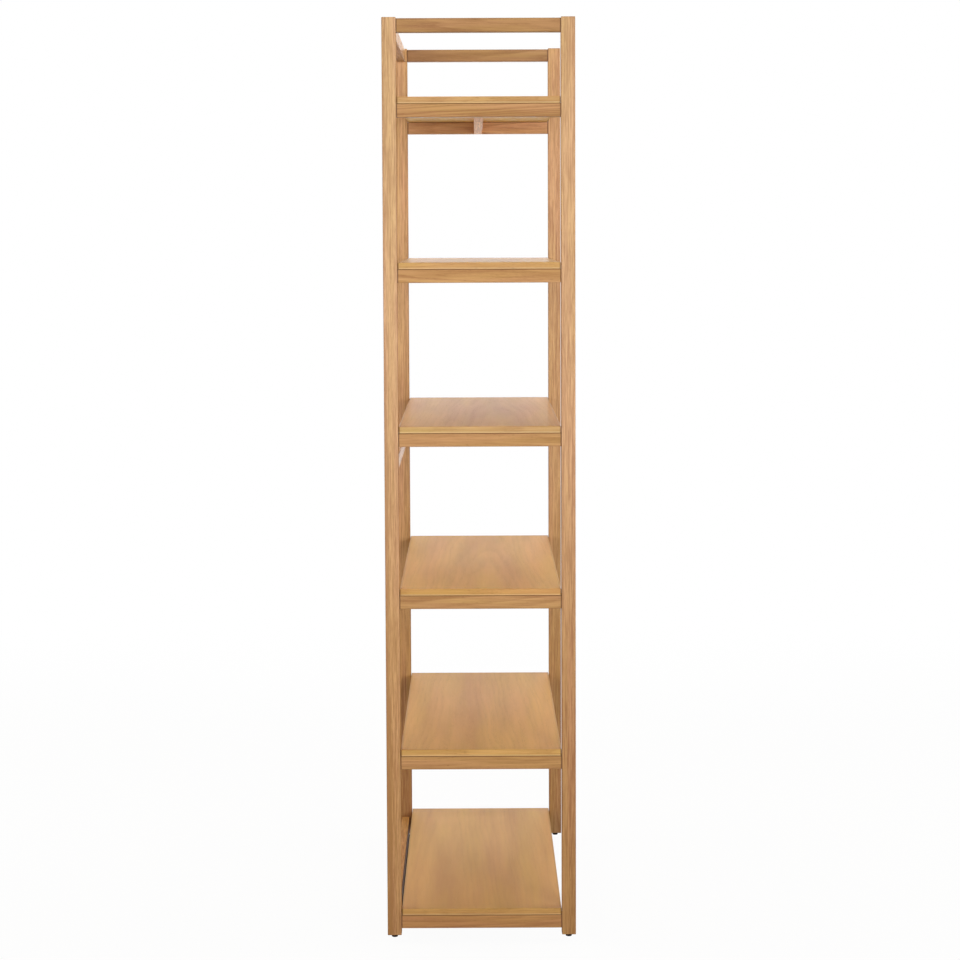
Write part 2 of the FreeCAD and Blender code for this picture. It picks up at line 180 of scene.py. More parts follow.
def new_group(name, inputs, outputs):
    """An empty node group; inputs and outputs are pairs of a name and a socket type."""
    group = bpy.data.node_groups.new(name, "ShaderNodeTree")
    for label, kind in inputs:
        group.interface.new_socket(label, in_out="INPUT", socket_type="NodeSocket" + kind)
    for label, kind in outputs:
        group.interface.new_socket(label, in_out="OUTPUT", socket_type="NodeSocket" + kind)
    entry = group.nodes.new("NodeGroupInput").outputs
    leave = group.nodes.new("NodeGroupOutput").inputs
    return group, entry, leave


def use_group(tree, group, inputs):
    node = tree.nodes.new("ShaderNodeGroup")
    node.node_tree = group
    fill(tree, node, inputs)
    return node.outputs


def new_material(name):
    """A material with an empty tree, its shader and the output already joined."""
    material = bpy.data.materials.new(name)
    material.use_nodes = True
    tree = material.node_tree
    tree.nodes.clear()
    shader = tree.nodes.new("ShaderNodeBsdfPrincipled")
    out = tree.nodes.new("ShaderNodeOutputMaterial")
    tree.links.new(shader.outputs[0], out.inputs["Surface"])
    return material, tree, shader


def wear(node, material):
    """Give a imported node's object this material in all its slots."""
    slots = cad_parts[node].material_slots
    for slot in slots:
        slot.material = material


# Oak

# What the wood's colour is multiplied by where its hue drifts, in pores, and for painted shade
YELLOWISH = (0.98, 1.01, 0.88, 1.0)
PINKISH = (1.02, 0.98, 1.08, 1.0)
PORE_TONE = (0.62, 0.55, 0.48, 1.0)
PAINTED_SHADE_TONE = (0.34, 0.28, 0.22, 1.0)

# The darker heartwood's shade and half the width of its border
HEART_SHADE = 0.8
HEART_EDGE = 0.002

# Each piece is cut from its own place in the noise, up to this far from its middle along each axis
SEED_REACH = 40.0
NOISE_RANGE = (0.3, 0.7)  # where most of the noise's values lie

# Bumps per metre along and across the grain
SLOW_WANDER = (1.6, 11.0, 11.0)
QUICK_WANDER = (9.0, 60.0, 60.0)
FAINT_RINGS = (3.0, 45.0, 45.0)
STREAKS = (12.0, 330.0, 330.0)
SINGLE_FIBRES = (45.0, 1100.0, 1100.0)
PORES = (110.0, 2300.0, 2300.0)

# How much of the quick wander is added to the slow one, and what keeps the hues from following the bands
QUICK_SHARE = 0.18
HUE_OFFSET = (5.3, 1.7, 3.1)

# Rings: the share of early wood from the start of a ring to its end, and how unevenly the rings are spaced
EARLY_WOOD = [(0.0, 0.35), (0.06, 1.0), (0.28, 0.8), (0.5, 0.28), (0.85, 0.05), (1.0, 0.35)]
EARLY_WOOD_MEAN = 0.4
RING_JITTER = 2.4
JITTERS_PER_RING = 0.45
RING_STRENGTHS = (0.25, 1.2)

# Shares of the finer marks in the colour, the roughness and the relief
FIBRE_SHARE = 0.4
PORE_SHARE = 0.5
PORE_RANGE = (0.6, 0.74)
PORES_IN_LATE_WOOD = 0.15
STREAK_ROUGHNESS = 0.10
PORE_ROUGHNESS = 0.10
EARLY_WOOD_HEIGHT = -0.25
FIBRE_HEIGHT = 0.5
PORE_HEIGHT = -0.8

# Painted shade beside an edge: how strong it is, how far in it is full and where it ends
ARRIS_SHADE = 0.3
ARRIS_REACH = 0.0022
JOINT_SHADE = 0.8
JOINT_REACH = 0.0028
JOINT_CORE = JOINT_REACH / 3
SEAT_SHADE = 0.75
SEAT_REACH = 0.0022
SEAT_CORE = 0.0008
INNER_REACH = 0.0015
INNER_CORE = 0.0005
RIM_SHADE = 0.3
RIM_REACH = 0.005
RIM_CORE = 0.001

# A painted highlight on the lower arris of a shelf's ends
LOWER_ARRIS_HIGHLIGHT = (0.9, 0.72, 0.45, 1.0)
LOWER_ARRIS_HIGHLIGHT_SHARE = 0.22
LOWER_ARRIS_REACH = 0.0035
LOWER_ARRIS_CORE = 0.0015

# A face counts as facing an axis from this share of its normal on
FACING_SHARE = 0.6

# Sheen comes or goes between these flat angles: 0 is seen straight on, 1 along the surface
LACQUER_ANGLES = (0.905, 0.975)
OIL_ANGLES = (0.87, 0.95)
LACQUER_ROUGHNESS = 0.15
GRAIN_RELIEF = {"Strength": 0.35, "Distance": 0.0003}
ARRIS_POLISH = -0.05
SIDEWAYS = 0.25  # of a turn


def make_grain_group():
    """Oak cut from a log: growth rings about the pith, bands, streaks, fibres and pores.
    The vector is in metres with the grain along its X. Pith is the log's middle, seen from the piece's own.
    Heart is the radius of the darker heartwood, and Patches the bands and hues per metre."""
    inputs = [
        ("Vector", "Vector"), ("Seed", "Vector"), ("Pith", "Vector"),
        ("Ring Width", "Float"), ("Wander", "Float"), ("Taper", "Float"), ("Heart", "Float"),
        ("Patches", "Vector"), ("Rings", "Float"), ("Bands", "Float"), ("Streaks", "Float"),
        ("Light", "Color"), ("Dark", "Color"),
    ]
    outputs = [("Colour", "Color"), ("Unevenness", "Float"), ("Height", "Float")]
    group, entry, leave = new_group("oak_grain", inputs, outputs)
    shifted = calc_vector(group, "ADD", entry["Vector"], entry["Seed"])

    # Distance from the pith, which wanders along the log
    slow = swing(group, shifted, SLOW_WANDER, 1.0)
    quick = swing(group, shifted, QUICK_WANDER, 2.0)
    wander = calc(group, "MULTIPLY_ADD", quick, QUICK_SHARE, slow)
    from_pith = calc_vector(group, "SUBTRACT", entry["Vector"], entry["Pith"])
    across = calc_vector(group, "MULTIPLY", from_pith, (0.0, 1.0, 1.0))
    radius = add(group, "VectorMath", {0: across}, operation="LENGTH").outputs["Value"]
    along = add(group, "SeparateXYZ", {0: entry["Vector"]}).outputs[0]
    radius = calc(group, "MULTIPLY_ADD", along, entry["Taper"], radius)
    radius = calc(group, "MULTIPLY_ADD", wander, entry["Wander"], radius)

    # Rings: porous early wood starts sharply and fades into dense late wood; some rings are fainter
    turns = calc(group, "DIVIDE", radius, entry["Ring Width"])
    jitters = calc(group, "MULTIPLY", turns, JITTERS_PER_RING)
    jitter_inputs = {"W": jitters, "Scale": 1.0, "Detail": 1.0}
    jitter = add(group, "TexNoise", jitter_inputs, noise_dimensions="1D").outputs[0]
    turns = calc(group, "MULTIPLY_ADD", jitter, RING_JITTER, turns)
    early = ramp(group, calc(group, "FRACT", turns), EARLY_WOOD)
    strength = spread(group, noise(group, shifted, FAINT_RINGS, 1.0), *RING_STRENGTHS, *NOISE_RANGE)
    rings = calc(group, "MULTIPLY", calc(group, "SUBTRACT", early, EARLY_WOOD_MEAN), strength)

    # Bands of lighter and darker wood, streaks a few centimetres long, single fibres and pores
    bands = swing(group, shifted, entry["Patches"], 3.0)
    streaks = swing(group, shifted, STREAKS, 2.0, 0.6)
    fibres = swing(group, shifted, SINGLE_FIBRES, 1.0)
    pores = spread(group, noise(group, shifted, PORES, 0.0), 0.0, 1.0, *PORE_RANGE)
    pores = calc(group, "MULTIPLY", pores, spread(group, early, PORES_IN_LATE_WOOD, 1.0))

    heart_start = calc(group, "SUBTRACT", entry["Heart"], HEART_EDGE)
    heart_end = calc(group, "ADD", entry["Heart"], HEART_EDGE)
    heart = spread(group, radius, HEART_SHADE, 0.0, heart_start, heart_end)

    shade = calc(group, "MULTIPLY_ADD", rings, entry["Rings"], calc(group, "ADD", heart, 0.5))
    shade = calc(group, "MULTIPLY_ADD", bands, entry["Bands"], shade)
    shade = calc(group, "MULTIPLY_ADD", streaks, entry["Streaks"], shade)
    shade = calc(group, "MULTIPLY_ADD", fibres, calc(group, "MULTIPLY", entry["Streaks"], FIBRE_SHARE), shade)
    shade = calc(group, "MINIMUM", calc(group, "MAXIMUM", shade, 0.0), 1.0)
    wood = mix_colours(group, shade, entry["Light"], entry["Dark"])

    # The hue drifts between pinkish and yellowish
    hue = noise(group, calc_vector(group, "ADD", shifted, HUE_OFFSET), entry["Patches"], 3.0)
    tint = mix_colours(group, spread(group, hue, 0.0, 1.0, *NOISE_RANGE), YELLOWISH, PINKISH)
    wood = mix_colours(group, 1.0, wood, tint, "MULTIPLY")
    pore_colour = mix_colours(group, 1.0, entry["Dark"], PORE_TONE, "MULTIPLY")
    wood = mix_colours(group, calc(group, "MULTIPLY", pores, PORE_SHARE), wood, pore_colour)
    group.links.new(wood, leave["Colour"])

    unevenness = calc(group, "MULTIPLY", pores, PORE_ROUGHNESS)
    unevenness = calc(group, "MULTIPLY_ADD", streaks, STREAK_ROUGHNESS, unevenness)
    group.links.new(unevenness, leave["Unevenness"])
    height = calc(group, "MULTIPLY", fibres, FIBRE_HEIGHT)
    height = calc(group, "MULTIPLY_ADD", early, EARLY_WOOD_HEIGHT, height)
    height = calc(group, "MULTIPLY_ADD", pores, PORE_HEIGHT, height)
    group.links.new(height, leave["Height"])
    return group


def make_edge_group():
    """How near a point of a block is to its arrises, and to its two ends along X."""
    inputs = [("Vector", "Vector"), ("Half", "Vector")]
    outputs = [("Arris", "Float"), ("End", "Float")]
    group, entry, leave = new_group("block_edges", inputs, outputs)
    room = calc_vector(group, "SUBTRACT", entry["Half"], calc_vector(group, "ABSOLUTE", entry["Vector"]))
    x, y, z = add(group, "SeparateXYZ", {0: room}).outputs
    lesser = calc(group, "MINIMUM", x, y)
    greater = calc(group, "MAXIMUM", x, y)
    middle = calc(group, "MAXIMUM", lesser, calc(group, "MINIMUM", greater, z))
    group.links.new(spread(group, middle, 1.0, 0.0, 0.0, ARRIS_REACH), leave["Arris"])
    group.links.new(spread(group, x, 1.0, 0.0, JOINT_CORE, JOINT_REACH), leave["End"])
    return group


GRAIN = make_grain_group()
EDGES = make_edge_group()


def in_order(values, order):
    return tuple(values["XYZ".index(axis)] for axis in order)


def turn_axes(tree, vector, order):
    """The same vector with its axes in another order, the grain's first."""
    parts = add(tree, "SeparateXYZ", {0: vector}).outputs
    return add(tree, "CombineXYZ", enumerate(in_order(parts, order))).outputs[0]


def finish_oak(tree, shader, fibres, unevenness, rough=0.6, gloss=0.4, gloss_spread=0.0, lacquer=0.14):
    """Gloss that spreads sideways off the fibres, under a thin lacquer that shines at a flat angle.
    Oak without lacquer is oiled, and turns dull at a flat angle."""
    tree.links.new(calc(tree, "ADD", unevenness, rough), shader.inputs["Roughness"])
    tree.links.new(fibres, shader.inputs["Tangent"])
    shader.inputs["Anisotropic"].default_value = gloss_spread
    shader.inputs["Anisotropic Rotation"].default_value = SIDEWAYS
    flat_angle = add(tree, "LayerWeight", {"Blend": 0.5}).outputs["Facing"]
    if lacquer:
        shader.inputs["Specular IOR Level"].default_value = gloss
        tree.links.new(spread(tree, flat_angle, 0.0, lacquer, *LACQUER_ANGLES), shader.inputs["Coat Weight"])
        shader.inputs["Coat Roughness"].default_value = LACQUER_ROUGHNESS
    else:
        tree.links.new(spread(tree, flat_angle, gloss, 0.0, *OIL_ANGLES), shader.inputs["Specular IOR Level"])


def shelf_faces(tree, normal):
    """1 or 0 for whether a point is on a shelf's ends, on any of its four edges, and on its underside."""
    facing = add(tree, "SeparateXYZ", {0: normal}).outputs
    at_end = calc(tree, "GREATER_THAN", calc(tree, "ABSOLUTE", facing["X"]), FACING_SHARE)
    at_edge = calc(tree, "LESS_THAN", calc(tree, "ABSOLUTE", facing["Z"]), FACING_SHARE)
    below = calc(tree, "LESS_THAN", facing["Z"], -FACING_SHARE)
    return at_end, at_edge, below


def tone_shelf(tree, colour, painted_shade, faces, to_side, above_bottom, edge_tone, painted_underside_light):
    """A shelf's colour with its own tones on the edges and below, partly painted light, a painted highlight
    on the lower arrises and painted shade on the rims.
    """
    at_end, at_edge, below = faces
    colour = mix_colours(tree, at_edge, colour, edge_tone, "MULTIPLY")
    # Painted light: a lighter underside
    if painted_underside_light:
        colour = mix_colours(tree, below, colour, (*painted_underside_light, 1.0), "MULTIPLY")
    # A painted highlight on the lower arris of a shelf's ends
    lower_arris_highlight = spread(tree, above_bottom, LOWER_ARRIS_HIGHLIGHT_SHARE, 0.0, LOWER_ARRIS_CORE, LOWER_ARRIS_REACH)
    colour = mix_colours(tree, calc(tree, "MULTIPLY", at_end, lower_arris_highlight), colour, LOWER_ARRIS_HIGHLIGHT)
    # Painted shade along the rims of a shelf's top and underside
    on_top_or_below = calc(tree, "SUBTRACT", 1.0, at_edge)
    rim = spread(tree, to_side, RIM_SHADE, 0.0, RIM_CORE, RIM_REACH)
    return mix_colours(tree, calc(tree, "MULTIPLY", on_top_or_below, rim), colour, painted_shade)


def oak(node, order, light, dark, pith, grain, tone=1.0, painted_foot_shade=None, edge_tone=None, painted_underside_light=None,
        joint_shade=0.0, seat_shade=0.0, inner_shade=0.0, **finish):
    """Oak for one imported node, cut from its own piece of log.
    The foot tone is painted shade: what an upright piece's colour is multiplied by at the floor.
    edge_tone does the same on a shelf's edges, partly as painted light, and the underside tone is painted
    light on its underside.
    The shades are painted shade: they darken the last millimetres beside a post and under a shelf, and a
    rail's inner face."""
    low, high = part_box(node)
    middle = (low + high) / 2
    half = (high - low) / 2
    chance = random.Random(node)
    material, tree, shader = new_material("oak_" + node)
    spot = add(tree, "TexCoord").outputs
    local = calc_vector(tree, "SUBTRACT", spot["Object"], tuple(middle))
    side, up = add(tree, "SeparateXYZ", {0: local}).outputs[1:]

    # The grain runs one way, but on a shelf's ends it runs across, as on a lipping
    lying = turn_axes(tree, local, order)
    grain_vector = lying
    fibres = FIBRES[order[0]]
    if edge_tone:
        faces = shelf_faces(tree, spot["Normal"])
        at_end = faces[0]
        grain_vector = mix_vectors(tree, at_end, lying, turn_axes(tree, local, ALONG_Y))
        fibres = mix_vectors(tree, at_end, fibres, FIBRES["Y"])
        grain = {name: mix_values(tree, at_end, value, EDGE_GRAIN[name]) for name, value in grain.items()}
    else:
        fibres = add(tree, "CombineXYZ", enumerate(fibres)).outputs[0]
    seed = tuple(chance.uniform(-SEED_REACH, SEED_REACH) for axis in range(3))
    light = toned(light, tone)
    dark = toned(dark, tone)
    colour, unevenness, height = use_group(tree, GRAIN, {
        "Vector": grain_vector, "Seed": seed, "Pith": (0.0, *pith), "Light": light, "Dark": dark, **grain,
    })

    # Tones and shades
    arris, end = use_group(tree, EDGES, {"Vector": lying, "Half": in_order(half, order)})
    # The colour of painted shade
    painted_shade = mix_colours(tree, 1.0, dark, PAINTED_SHADE_TONE, "MULTIPLY")
    # Painted shade: an upright piece darkens towards the floor
    if painted_foot_shade:
        to_floor = spread(tree, up, 1.0, 0.0, -half.z, half.z)
        colour = mix_colours(tree, to_floor, colour, (*painted_foot_shade, 1.0), "MULTIPLY")
    if edge_tone:
        to_side = calc(tree, "SUBTRACT", half.y, calc(tree, "ABSOLUTE", side))
        above_bottom = calc(tree, "ADD", up, half.z)
        colour = tone_shelf(tree, colour, painted_shade, faces, to_side, above_bottom, edge_tone, painted_underside_light)
        end = calc(tree, "MULTIPLY", at_end, spread(tree, to_side, 1.0, 0.0, JOINT_CORE, JOINT_REACH))
    else:
        # Painted shade along the arrises
        colour = mix_colours(tree, calc(tree, "MULTIPLY", arris, ARRIS_SHADE), colour, painted_shade)
    # Painted shade in the joint beside a post
    if joint_shade:
        colour = mix_colours(tree, calc(tree, "MULTIPLY", end, joint_shade), colour, painted_shade)
    # Painted shade on a rung's top, under its shelf
    if seat_shade:
        seat = spread(tree, up, 0.0, seat_shade, half.z - SEAT_REACH, half.z - SEAT_CORE)
        colour = mix_colours(tree, seat, colour, painted_shade)
    # Painted shade on a rail's inner face
    if inner_shade:
        inner = spread(tree, side, inner_shade, 0.0, INNER_CORE - half.y, INNER_REACH - half.y)
        colour = mix_colours(tree, inner, colour, painted_shade)
    tree.links.new(colour, shader.inputs["Base Color"])

    # Relief and gloss; arrises are rubbed a little smoother
    bump = add(tree, "Bump", {**GRAIN_RELIEF, "Height": height}).outputs[0]
    tree.links.new(bump, shader.inputs["Normal"])
    unevenness = calc(tree, "MULTIPLY_ADD", arris, ARRIS_POLISH, unevenness)
    finish_oak(tree, shader, fibres, unevenness, **finish)
    wear(node, material)


POST_LIGHT = linear(205, 158, 102)
POST_DARK = linear(170, 120, 69)
RUNG_LIGHT = linear(199, 151, 95)
RUNG_DARK = linear(164, 115, 66)
SHELF_LIGHT = linear(227, 175, 95)
SHELF_DARK = linear(195, 142, 73)
EDGE_TONE = (0.85, 0.88, 1.04, 1.0)
LONG_FIBRES = {"rough": 0.5, "gloss": 0.5, "gloss_spread": 0.8}

# Straight-grained posts, rungs with a bolder figure, and quiet veneer on the shelves with a livelier edge
POST_GRAIN = {
    "Ring Width": 0.003, "Wander": 0.006, "Taper": 0.004, "Heart": 0.0, "Patches": (2.2, 45.0, 45.0),
    "Rings": 0.45, "Bands": 1.8, "Streaks": 3.4,
}
RUNG_GRAIN = {
    "Ring Width": 0.0055, "Wander": 0.03, "Taper": 0.03, "Heart": 0.0, "Patches": (3.5, 45.0, 45.0),
    "Rings": 0.5, "Bands": 1.7, "Streaks": 1.4,
}
SHELF_GRAIN = {
    "Ring Width": 0.012, "Wander": 0.04, "Taper": 0.03, "Heart": 0.0, "Patches": (1.5, 18.0, 18.0),
    "Rings": 0.05, "Bands": 1.6, "Streaks": 0.2,
}
EDGE_GRAIN = {**RUNG_GRAIN, "Ring Width": 0.004, "Rings": 0.3}

# Arched figure on one rung
ARCHED_RUNG = "left_rung_6"
ARCHED_GRAIN = {**RUNG_GRAIN, "Ring Width": 0.005, "Taper": 0.05, "Rings": 0.7, "Bands": 2.4, "Streaks": 1.0}

# Tones of single pieces, partly their own wood and partly painted light for how the lamps reach them, painted
# shade on posts towards the floor, and shelf edges by level, also partly painted light
TONES = {
    "left_front_post": (0.95, 0.98, 1.0), "left_back_post": (0.97, 1.0, 1.08), "right_back_post": 1.1,
    "left_rung_1": (1.0, 0.92, 0.83), "left_rung_2": (0.96, 0.95, 0.92), "left_rung_3": (0.95, 0.98, 1.0),
    "left_rung_4": (0.92, 0.95, 0.95), "left_rung_5": (0.97, 1.0, 1.05), "left_rung_6": 0.84,
    "left_top_rung": 0.77, "right_top_rung": (0.78, 0.81, 0.9), "right_rung_6": (1.22, 1.27, 1.6),
    "shelf_1": (0.95, 0.95, 0.88), "shelf_2": (1.04, 1.03, 0.94), "shelf_3": (1.18, 1.17, 1.0),
    "shelf_4": (0.97, 0.9, 0.86), "shelf_5": (0.95, 0.95, 0.92), "shelf_6": (1.1, 1.1, 1.05),
    "bottom_back_rail": 1.4, "middle_back_rail": (1.3, 1.36, 1.3), "top_back_rail": 0.92,
}
# Painted shade at the foot of each post, where less light reaches
PAINTED_FOOT_SHADES = {
    "left_front_post": (0.86, 0.75, 0.69), "left_back_post": (1.0, 0.94, 0.86),
    "right_front_post": (0.74, 0.73, 0.66), "right_back_post": (0.65, 0.6, 0.49),
}
EDGE_TONES = {
    1: (1.12, 1.1, 1.08), 2: (1.0, 0.99, 1.08), 3: (0.76, 0.72, 0.76), 4: (0.92, 1.06, 1.36),
    5: (0.95, 0.96, 1.04), 6: (0.8, 0.83, 0.98),
}
# The stretchers' tone, partly painted light
STRETCHER_TONE = (1.45, 1.34, 0.98)

# Gloss and lacquer that differ from the other pieces', with painted shade or painted light that one piece
# alone has
STRETCHER_FINISH = {"gloss": 0.3, "lacquer": 0.07}
SHELF_FINISH = {"gloss": 0.3, "lacquer": 0.12}
# The top shelf's underside tone is painted light
TOP_SHELF_FINISH = {"gloss": 0.3, "lacquer": 0.3, "painted_underside_light": (1.05, 1.25, 1.2)}
RAIL_FINISH = {
    # The bottom rail's inner face is painted dark as shade
    "bottom": {"lacquer": 0.03, "gloss": 0.05, "inner_shade": 1.0},
    "middle": {"lacquer": 0.5},
    "top": {"lacquer": 0.14},
}

# Where the log's middle lies across a piece, from the piece's own: one place, or limits for a random one
RAIL_PITH = (0.05, 0.04)
STRETCHER_PITH = (0.05, 0.03)
POST_PITH_LIMITS = ((0.05, 0.09), (-0.09, -0.05))
RUNG_PITH_LIMITS = ((0.02, 0.05), (-0.04, 0.04))
SHELF_PITH_LIMITS = ((-0.08, 0.08), (-0.06, -0.03))

# A dark heart shows along the outer third of one post, wider towards the floor
HEART_POST = "left_back_post"
HEART_POST_PITH = (0.0, 0.06)
HEART_POST_GRAIN = {**POST_GRAIN, "Taper": 0.0056, "Heart": 0.053}


def toned(colour, tone):
    """A colour multiplied by a tone, which is one number or one for each of red, green and blue."""
    if not isinstance(tone, tuple):
        tone = (tone, tone, tone)
    return (*(value * share for value, share in zip(colour[:3], tone)), 1.0)


def random_pith(name, limits):
    chance = random.Random("pith of " + name)
    return tuple(chance.uniform(low, high) for low, high in limits)


def dress_wood():
    for end in ENDS:
        for side in SIDES:
            node = f"{end}_{side}_post"
            pith = random_pith(node, POST_PITH_LIMITS)
            grain = POST_GRAIN
            if node == HEART_POST:
                pith = HEART_POST_PITH
                grain = HEART_POST_GRAIN
            oak(node, ALONG_Z, POST_LIGHT, POST_DARK, pith, grain, tone=TONES.get(node, 1.0),
                painted_foot_shade=PAINTED_FOOT_SHADES[node], lacquer=0.0, **LONG_FIBRES)
        for rung in [f"rung_{level}" for level in SHELF_LEVELS] + ["top_rung"]:
            node = f"{end}_{rung}"
            pith = random_pith(node, RUNG_PITH_LIMITS)
            seat_shade = 0.0 if rung == "top_rung" else SEAT_SHADE
            grain = ARCHED_GRAIN if node == ARCHED_RUNG else RUNG_GRAIN
            oak(node, ALONG_Y, RUNG_LIGHT, RUNG_DARK, pith, grain, tone=TONES.get(node, 1.0),
                joint_shade=JOINT_SHADE, seat_shade=seat_shade, **LONG_FIBRES)
    for level in SHELF_LEVELS:
        pith = random_pith(f"shelf {level}", SHELF_PITH_LIMITS)
        node = f"shelf_{level}"
        finish = TOP_SHELF_FINISH if level == SHELF_LEVELS[-1] else SHELF_FINISH
        oak(node, ALONG_X, SHELF_LIGHT, SHELF_DARK, pith, SHELF_GRAIN, tone=TONES.get(node, 1.0),
            edge_tone=toned(EDGE_TONE, EDGE_TONES[level]), joint_shade=JOINT_SHADE, **finish)
        oak(f"shelf_stretcher_{level}", ALONG_X, RUNG_LIGHT, RUNG_DARK, STRETCHER_PITH, POST_GRAIN,
            tone=STRETCHER_TONE, **STRETCHER_FINISH)
    for rail, finish in RAIL_FINISH.items():
        node = f"{rail}_back_rail"
        oak(node, ALONG_X, RUNG_LIGHT, RUNG_DARK, RAIL_PITH, POST_GRAIN, tone=TONES.get(node, 1.0), **finish)


# Metal, dowels and plastic

GRAINS_PER_CLOUD = 9
ROUGHNESS_SWING = 0.08
FULL_NOISE_RANGE = (0.25, 0.75)
FINE_RELIEF_DEPTH = 0.0001


def dress_plain(nodes, name, colour, worn, metallic, roughness, per_metre, bump, gloss=0.5):
    """A fine-grained material: two close colours, uneven gloss and a slight texture."""
    material, tree, shader = new_material(name)
    spot = add(tree, "TexCoord").outputs["Object"]
    grain = noise(tree, spot, (per_metre,) * 3, 3.0)
    cloud = noise(tree, spot, (per_metre / GRAINS_PER_CLOUD,) * 3, 2.0)
    blotches = spread(tree, cloud, 0.0, 1.0, *NOISE_RANGE)
    tree.links.new(mix_colours(tree, blotches, colour, worn), shader.inputs["Base Color"])
    smoothest = roughness - ROUGHNESS_SWING
    roughest = roughness + ROUGHNESS_SWING
    tree.links.new(spread(tree, grain, smoothest, roughest, *FULL_NOISE_RANGE), shader.inputs["Roughness"])
    shader.inputs["Metallic"].default_value = metallic
    shader.inputs["Specular IOR Level"].default_value = gloss
    relief = add(tree, "Bump", {"Strength": bump, "Distance": FINE_RELIEF_DEPTH, "Height": grain}).outputs[0]
    tree.links.new(relief, shader.inputs["Normal"])
    for node in nodes:
        wear(node, material)
    return material


FEET = [f"{end}_{side}_foot" for end in ENDS for side in SIDES]
THREAD_PITCH = 0.001
THREAD_DEPTH = 0.0006
STUD_SIDES = 32
ROWS_PER_PITCH = 8


def make_stud(foot, material):
    """A foot's stud with a screw thread cut into it and a bevel at both ends."""
    node = foot + "_stud"
    low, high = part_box(node)
    middle = (low + high) / 2
    reach = (high.x - low.x) / 2
    length = high.z - low.z
    rows = round(length / THREAD_PITCH * ROWS_PER_PITCH)
    shape = bmesh.new()
    rings = []
    for row in range(rows + 1):
        height = length * row / rows
        to_end = min(height, length - height)
        ring = []
        for side in range(STUD_SIDES):
            turn = side / STUD_SIDES
            groove = abs((height / THREAD_PITCH - turn) % 1.0 - 0.5) * 2
            radius = min(reach - THREAD_DEPTH * groove, reach - THREAD_DEPTH + to_end)
            angle = 2 * math.pi * turn
            ring.append(shape.verts.new((radius * math.cos(angle), radius * math.sin(angle), height)))
        rings.append(ring)
    for lower, upper in zip(rings, rings[1:]):
        for side in range(STUD_SIDES):
            after = (side + 1) % STUD_SIDES
            shape.faces.new((lower[side], lower[after], upper[after], upper[side]))
    shape.faces.new(list(reversed(rings[0])))
    shape.faces.new(rings[-1])
    mesh = bpy.data.meshes.new(node + "_thread")
    shape.to_mesh(mesh)
    shape.free()
    mesh.materials.append(material)
    stud = bpy.data.objects.new(node + "_thread", mesh)
    stud.location = (middle.x, middle.y, low.z)
    bpy.context.scene.collection.objects.link(stud)
    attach(stud, foot)
    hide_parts(node)


def dress_fittings():
    pads = [foot + "_pad" for foot in FEET]
    dress_plain(pads, "black_pad", linear(7, 7, 8), linear(13, 13, 14),
                metallic=0.0, roughness=0.75, per_metre=2600.0, bump=0.3, gloss=0.04)
    studs = [foot + "_stud" for foot in FEET]
    steel_nodes = ["stretcher_cam_bolts", "rail_cam_bolts", "shelf_screws", *studs]
    steel = dress_plain(steel_nodes, "plated_steel", linear(190, 192, 196), linear(160, 162, 168),
                        metallic=1.0, roughness=0.34, per_metre=1800.0, bump=0.15)
    locks = ["stretcher_cam_locks", "rail_cam_locks"]
    dress_plain(locks, "cast_zinc", linear(178, 180, 184), linear(150, 152, 156),
                metallic=1.0, roughness=0.46, per_metre=1500.0, bump=0.25)
    dress_plain(["foot_inserts"], "brass_insert", linear(196, 160, 92), linear(170, 132, 70),
                metallic=1.0, roughness=0.36, per_metre=1500.0, bump=0.15)
    dowels = ["left_frame_dowels", "right_frame_dowels", "stretcher_dowels", "rail_dowels"]
    dress_plain(dowels, "beech", linear(212, 170, 124), linear(190, 146, 102),
                metallic=0.0, roughness=0.6, per_metre=900.0, bump=0.3)
    for foot in FEET:
        make_stud(foot, steel)


# Floor, light and camera

def seen_directly(tree):
    """1 for what the camera sees, directly or through a reflection or glass, and 0 for plain lighting."""
    path = add(tree, "LightPath").outputs
    mirrored = calc(tree, "MAXIMUM", path["Is Glossy Ray"], path["Is Transmission Ray"])
    return calc(tree, "MAXIMUM", path["Is Camera Ray"], mirrored)


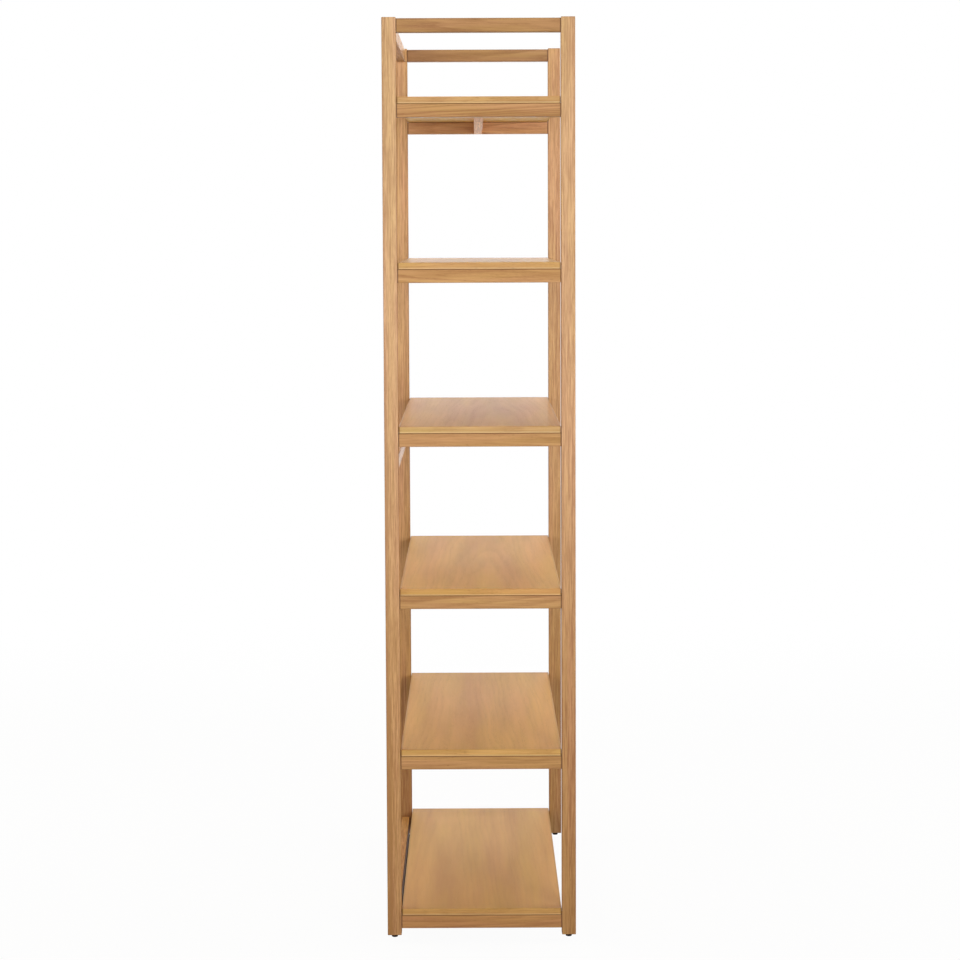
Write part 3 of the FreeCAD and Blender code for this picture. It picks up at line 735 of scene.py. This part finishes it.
def make_floor():
    """A pale floor that looks white but keeps the bookcase's shadow."""
    mesh = bpy.data.meshes.new("floor")
    shape = bmesh.new()
    bmesh.ops.create_grid(shape, x_segments=8, y_segments=8, size=FLOOR_SIZE / 2)
    shape.to_mesh(mesh)
    shape.free()
    floor = bpy.data.objects.new("floor", mesh)
    floor.location.z = FLOOR_HEIGHT
    bpy.context.scene.collection.objects.link(floor)
    material = bpy.data.materials.new("pale_floor")
    material.use_nodes = True
    tree = material.node_tree
    tree.nodes.clear()
    seen = seen_directly(tree)
    spot = add(tree, "TexCoord").outputs["Object"]
    away = add(tree, "VectorMath", {0: spot}, operation="LENGTH").outputs["Value"]
    from_middle = calc_vector(tree, "ABSOLUTE", calc_vector(tree, "SUBTRACT", spot, UNDER_RAIL_MIDDLE))
    x, y = add(tree, "SeparateXYZ", {0: from_middle}).outputs[:2]
    clear_along = spread(tree, x, 0.0, 1.0, *UNDER_RAIL_X)
    clear_across = spread(tree, y, 0.0, 1.0, *UNDER_RAIL_Y)
    clear = calc(tree, "MAXIMUM", clear_along, clear_across)
    share = spread(tree, away, FLOOR_WHITE_SHARE, 1.0, *FLOOR_SHADOW_REACH)
    share = calc(tree, "MULTIPLY", calc(tree, "MULTIPLY", seen, share), clear)
    colour = mix_colours(tree, seen, FLOOR_BOUNCE, FLOOR_COLOUR)
    colour = mix_colours(tree, clear, UNDER_RAIL_COLOUR, colour)
    matt = add(tree, "BsdfDiffuse", {"Color": colour})
    white = add(tree, "Emission", {"Color": WHITE, "Strength": 1.0})
    both = add(tree, "MixShader", {0: share, 1: matt.outputs[0], 2: white.outputs[0]})
    add(tree, "OutputMaterial", {"Surface": both.outputs[0]})
    mesh.materials.append(material)


def make_world():
    world = bpy.data.worlds.new("studio")
    bpy.context.scene.world = world
    world.use_nodes = True
    tree = world.node_tree
    tree.nodes.clear()
    ambient = add(tree, "Background", {"Color": AMBIENT_COLOUR, "Strength": AMBIENT_STRENGTH})
    white = add(tree, "Background", {"Color": WHITE, "Strength": 1.0})
    both = add(tree, "MixShader", {0: seen_directly(tree), 1: ambient.outputs[0], 2: white.outputs[0]})
    add(tree, "OutputWorld", {"Surface": both.outputs[0]})


def make_lamp(name, place, aim, wide, high, watts, beam=180.0, colour=WHITE[:3], reflected=True):
    """A soft box; beam is the angle that its light keeps to, and reflected says whether gloss shows it."""
    lamp = bpy.data.lights.new(name, "AREA")
    lamp.spread = math.radians(beam)
    lamp.shape = "RECTANGLE"
    lamp.size = wide
    lamp.size_y = high
    lamp.energy = watts
    lamp.color = colour
    holder = bpy.data.objects.new(name, lamp)
    holder.visible_glossy = reflected
    holder.location = place
    holder.rotation_euler = (Vector(aim) - Vector(place)).to_track_quat("-Z", "Y").to_euler()
    bpy.context.scene.collection.objects.link(holder)


def make_camera():
    camera = bpy.data.cameras.new("camera")
    camera.sensor_width = SENSOR_WIDTH
    camera.sensor_fit = "HORIZONTAL"
    camera.lens = CAMERA_LENS
    camera.shift_y = CAMERA_SHIFT_UP
    camera.clip_end = CLIP_END
    holder = bpy.data.objects.new("camera", camera)
    turn = (CAMERA_AIM - CAMERA_PLACE).to_track_quat("-Z", "Y").to_matrix().to_4x4()
    holder.matrix_world = Matrix.Translation(CAMERA_PLACE) @ turn @ Matrix.Rotation(CAMERA_ROLL, 4, "Z")
    bpy.context.scene.collection.objects.link(holder)
    bpy.context.scene.camera = holder


dress_wood()
dress_fittings()
make_floor()
make_world()
make_lamp("front_key", (-4.2, -1.8, 1.5), (0.0, 0.0, 1.4), wide=1.4, high=2.4, watts=22.0, beam=62.0)
make_lamp("back_key", (-4.2, 1.8, 1.5), (0.0, 0.0, 1.4), wide=1.4, high=2.4, watts=10.0, beam=62.0)
make_lamp("far_fill", (4.2, 0.0, 2.0), (0.0, 0.0, 0.9), wide=2.4, high=2.4, watts=32.0)
make_lamp("far_low", (3.8, 0.0, 0.4), (0.4, 0.0, 1.0), wide=2.4, high=0.7, watts=17.0,
          beam=90.0, reflected=False)
make_lamp("front_fill", (0.2, -3.2, 1.7), (0.0, 0.0, 0.9), wide=2.0, high=2.4, watts=58.0, colour=WARM_WHITE)
make_lamp("overhead", (0.0, 0.0, 4.2), (0.0, 0.0, 0.0), wide=2.6, high=2.6, watts=40.0)
make_lamp("back_fill", (0.2, 3.2, 1.7), (0.0, 0.0, 0.9), wide=2.0, high=2.4, watts=58.0, colour=WARM_WHITE)
make_camera()
bpy.context.scene.view_settings.view_transform = "Standard"
